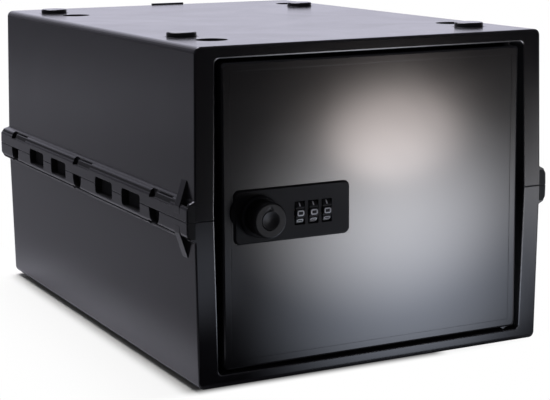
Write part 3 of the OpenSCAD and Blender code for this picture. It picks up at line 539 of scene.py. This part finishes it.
def floor_finish(name):
    finish, tree, place = new_finish(name)
    parts = add_node(tree, "ShaderNodeSeparateXYZ", {0: place["Object"]}).outputs
    seen = add_node(tree, "ShaderNodeLightPath").outputs["Is Camera Ray"]
    seen_white = 0.82
    seen_blue_share = 0.87
    tone = mix_of(tree, seen, mirrored_floor(tree, parts["X"], parts["Y"]), seen_white)
    blue = math_of(tree, "MULTIPLY", tone, ramp(tree, seen, 0, 1, 1, seen_blue_share))
    colour = add_node(tree, "ShaderNodeCombineColor", {"Red": tone, "Green": tone, "Blue": blue})
    lit_white = tree.nodes["Principled BSDF"]
    fill(tree, lit_white, {
        "Roughness": 0.7,
        "Specular IOR Level": 0.2,
        "Base Color": colour.outputs["Color"],
    })
    bare = math_of(tree, "MULTIPLY", clear_of_shadow(tree, place["Object"], parts["Y"]), seen)
    bare_white = add_node(tree, "ShaderNodeEmission").outputs["Emission"]
    either = {"Fac": bare, 1: lit_white.outputs["BSDF"], 2: bare_white}
    blend = add_node(tree, "ShaderNodeMixShader", either)
    fill(tree, tree.nodes["Material Output"], {"Surface": blend.outputs["Shader"]})
    return finish


floor_half = 6
floor_corners = [(x * floor_half, y * floor_half, 0) for x, y in ((-1, -1), (1, -1), (1, 1), (-1, 1))]
floor_mesh = bpy.data.meshes.new("studio_floor")
floor_mesh.from_pydata(floor_corners, [], [(0, 1, 2, 3)])
floor_mesh.materials.append(floor_finish("floor_white"))
studio_floor = new_piece("studio_floor", floor_mesh)
studio_floor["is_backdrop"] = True

# The room and its lamp. The room is white to the camera and gives a soft, faintly blue light
# that is strongest behind the box at the right. One broad lamp hangs over and behind the box.


def white_room(name):
    room = bpy.data.worlds.new(name)
    room.use_nodes = True
    tree = room.node_tree
    bright_side = (0.5, 0.86, 0.1)
    dim, bright = 0.14, 1.1
    edge_cosine, heart_cosine = 0.62, 0.97
    direction = add_node(tree, "ShaderNodeTexCoord").outputs["Generated"]
    towards = vector_of(tree, "DOT_PRODUCT", direction, bright_side, result="Value")
    light = ramp(tree, towards, edge_cosine, heart_cosine, dim, bright, "SMOOTHSTEP")
    seen = add_node(tree, "ShaderNodeLightPath").outputs["Is Camera Ray"]
    faint_blue = (0.93, 0.92, 1.08, 1)
    white = (1, 1, 1, 1)
    fill(tree, tree.nodes["Background"], {"Strength": mix_of(tree, seen, light, 1),
                                          "Color": colour_mix(tree, seen, faint_blue, white)})
    return room


bpy.context.scene.world = white_room("white_room")
overhead = bpy.data.lights.new("overhead", "AREA")
overhead.shape = "ELLIPSE"
overhead.size = overhead.size_y = 1.1
overhead.energy = 26
overhead.color = (0.96, 0.95, 1.08)
lamp_stand = new_piece("overhead", overhead)
lamp_stand.location = (-0.1, 0.5, 1.3)
lamp_stand.rotation_euler = (-lamp_stand.location).to_track_quat("-Z", "Y").to_euler()

# A lit card on the floor in front of the box, which the camera itself doesn't see. The soft glow
# on the door is its mirror image, so its patches are laid out by where they show on the door.

eye = Vector((-0.3991, -0.8042, 0.2377))
card_height = 0.002
card_near = -0.146
card_far = -1.25
card_corners = [(-0.119, card_near), (0.345, card_far), (1.02, card_far), (0.133, card_near)]


def spot_on_door(tree, place, door_face):
    """Where the mirror image of a spot on the card shows on the door: across and up, in metres."""
    parts = add_node(tree, "ShaderNodeSeparateXYZ", {0: place}).outputs
    eye_to_door = door_face - eye.y
    away = math_of(tree, "SUBTRACT", door_face + eye_to_door, parts["Y"])
    aside = math_of(tree, "SUBTRACT", parts["X"], eye.x)
    turned = math_of(tree, "MULTIPLY", math_of(tree, "DIVIDE", aside, away), eye_to_door)
    door_x = math_of(tree, "ADD", turned, eye.x)
    door_z = math_of(tree, "SUBTRACT", eye.z, math_of(tree, "DIVIDE", eye.z * eye_to_door, away))
    return add_node(tree, "ShaderNodeCombineXYZ", {"X": door_x, "Y": door_z}).outputs[0]


def patch(tree, on_door, middle, half_size, core, strength, tint):
    """One soft-edged elliptical patch of light; core is the even part of its radius."""
    centred = vector_of(tree, "SUBTRACT", on_door, (*middle, 0))
    scaled = vector_of(tree, "DIVIDE", centred, (*half_size, 1))
    out = vector_of(tree, "LENGTH", scaled, result="Value")
    level = ramp(tree, out, core, 1, strength, 0, "SMOOTHSTEP")
    return add_node(tree, "ShaderNodeEmission", {"Color": (*tint, 1), "Strength": level}).outputs[0]


def card_glow(name, door_face):
    """The warm heart of the glow, the even and the cool light round it, and its fainter edges."""
    finish, tree, place = new_finish(name)
    tree.nodes.remove(tree.nodes["Principled BSDF"])
    on_door = spot_on_door(tree, place["Object"], door_face)
    glow = patch(tree, on_door, middle=(0.0098, 0.1195), half_size=(0.0409, 0.0263), core=0.74,
                 strength=12.4, tint=(1, 0.88, 0.84))
    even = patch(tree, on_door, middle=(0.0127, 0.08), half_size=(0.0975, 0.064), core=0,
                 strength=9.25, tint=(1, 0.98, 0.99))
    cool = patch(tree, on_door, middle=(0.0235, 0.0415), half_size=(0.1078, 0.0983), core=0,
                 strength=4.75, tint=(1, 1.08, 1.28))
    left_edge = patch(tree, on_door, middle=(-0.098, 0.056), half_size=(0.03, 0.035), core=0.2,
                      strength=0.7, tint=(0.9, 0.96, 1.15))
    left_wash = patch(tree, on_door, middle=(-0.067, 0.075), half_size=(0.045, 0.09), core=0,
                      strength=0.2, tint=(0.95, 0.97, 1.1))
    right_edge = patch(tree, on_door, middle=(0.108, 0.095), half_size=(0.018, 0.085), core=0,
                       strength=4.1, tint=(1, 0.98, 1.02))
    for next_patch in (even, cool, left_edge, left_wash, right_edge):
        glow = add_node(tree, "ShaderNodeAddShader", {0: glow, 1: next_patch}).outputs[0]

    # The card's foot, close to the box, is dimmer, and so is its image in the frame's bottom rail
    foot_start, foot_end = -0.15, -0.18
    foot_share = 0.74
    y = add_node(tree, "ShaderNodeSeparateXYZ", {0: place["Object"]}).outputs["Y"]
    kept = ramp(tree, y, foot_end, foot_start, 1, foot_share)
    faded = add_node(tree, "ShaderNodeMixShader", {"Fac": kept, 2: glow})
    fill(tree, tree.nodes["Material Output"], {"Surface": faded.outputs["Shader"]})
    return finish


card = bpy.data.meshes.new("lit_card")
card.from_pydata([(x, y, card_height) for x, y in card_corners], [], [(0, 1, 2, 3)])
card.materials.append(card_glow("lit_card", door_face=-0.144))
sheet = new_piece("lit_card", card)
sheet.visible_camera = sheet.visible_diffuse = sheet.visible_shadow = False
sheet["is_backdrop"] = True

# The camera stands where the photograph's camera stood: at the front left, a little above the box
# and looking slightly down, with the picture shifted so that the uprights stay nearly upright.

picture_w = 550
focal_pixels = 1562
camera = bpy.data.cameras.new("camera")
camera.sensor_width = 36
camera.lens = focal_pixels / picture_w * camera.sensor_width
camera.shift_y = -0.1
camera.clip_start, camera.clip_end = 0.05, 50
yaw, pitch, roll = math.radians(27.19), math.radians(8.95), math.radians(-0.39)
ahead = Vector((math.sin(yaw) * math.cos(pitch), math.cos(yaw) * math.cos(pitch), -math.sin(pitch)))
camera_stand = new_piece("camera", camera)
camera_stand.rotation_mode = "QUATERNION"
level_view = ahead.to_track_quat("-Z", "Y")
camera_stand.rotation_quaternion = level_view @ Matrix.Rotation(roll, 3, "Z").to_quaternion()
camera_stand.location = eye
bpy.context.scene.camera = camera_stand
bpy.context.scene.view_settings.view_transform = "Standard"

low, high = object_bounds()
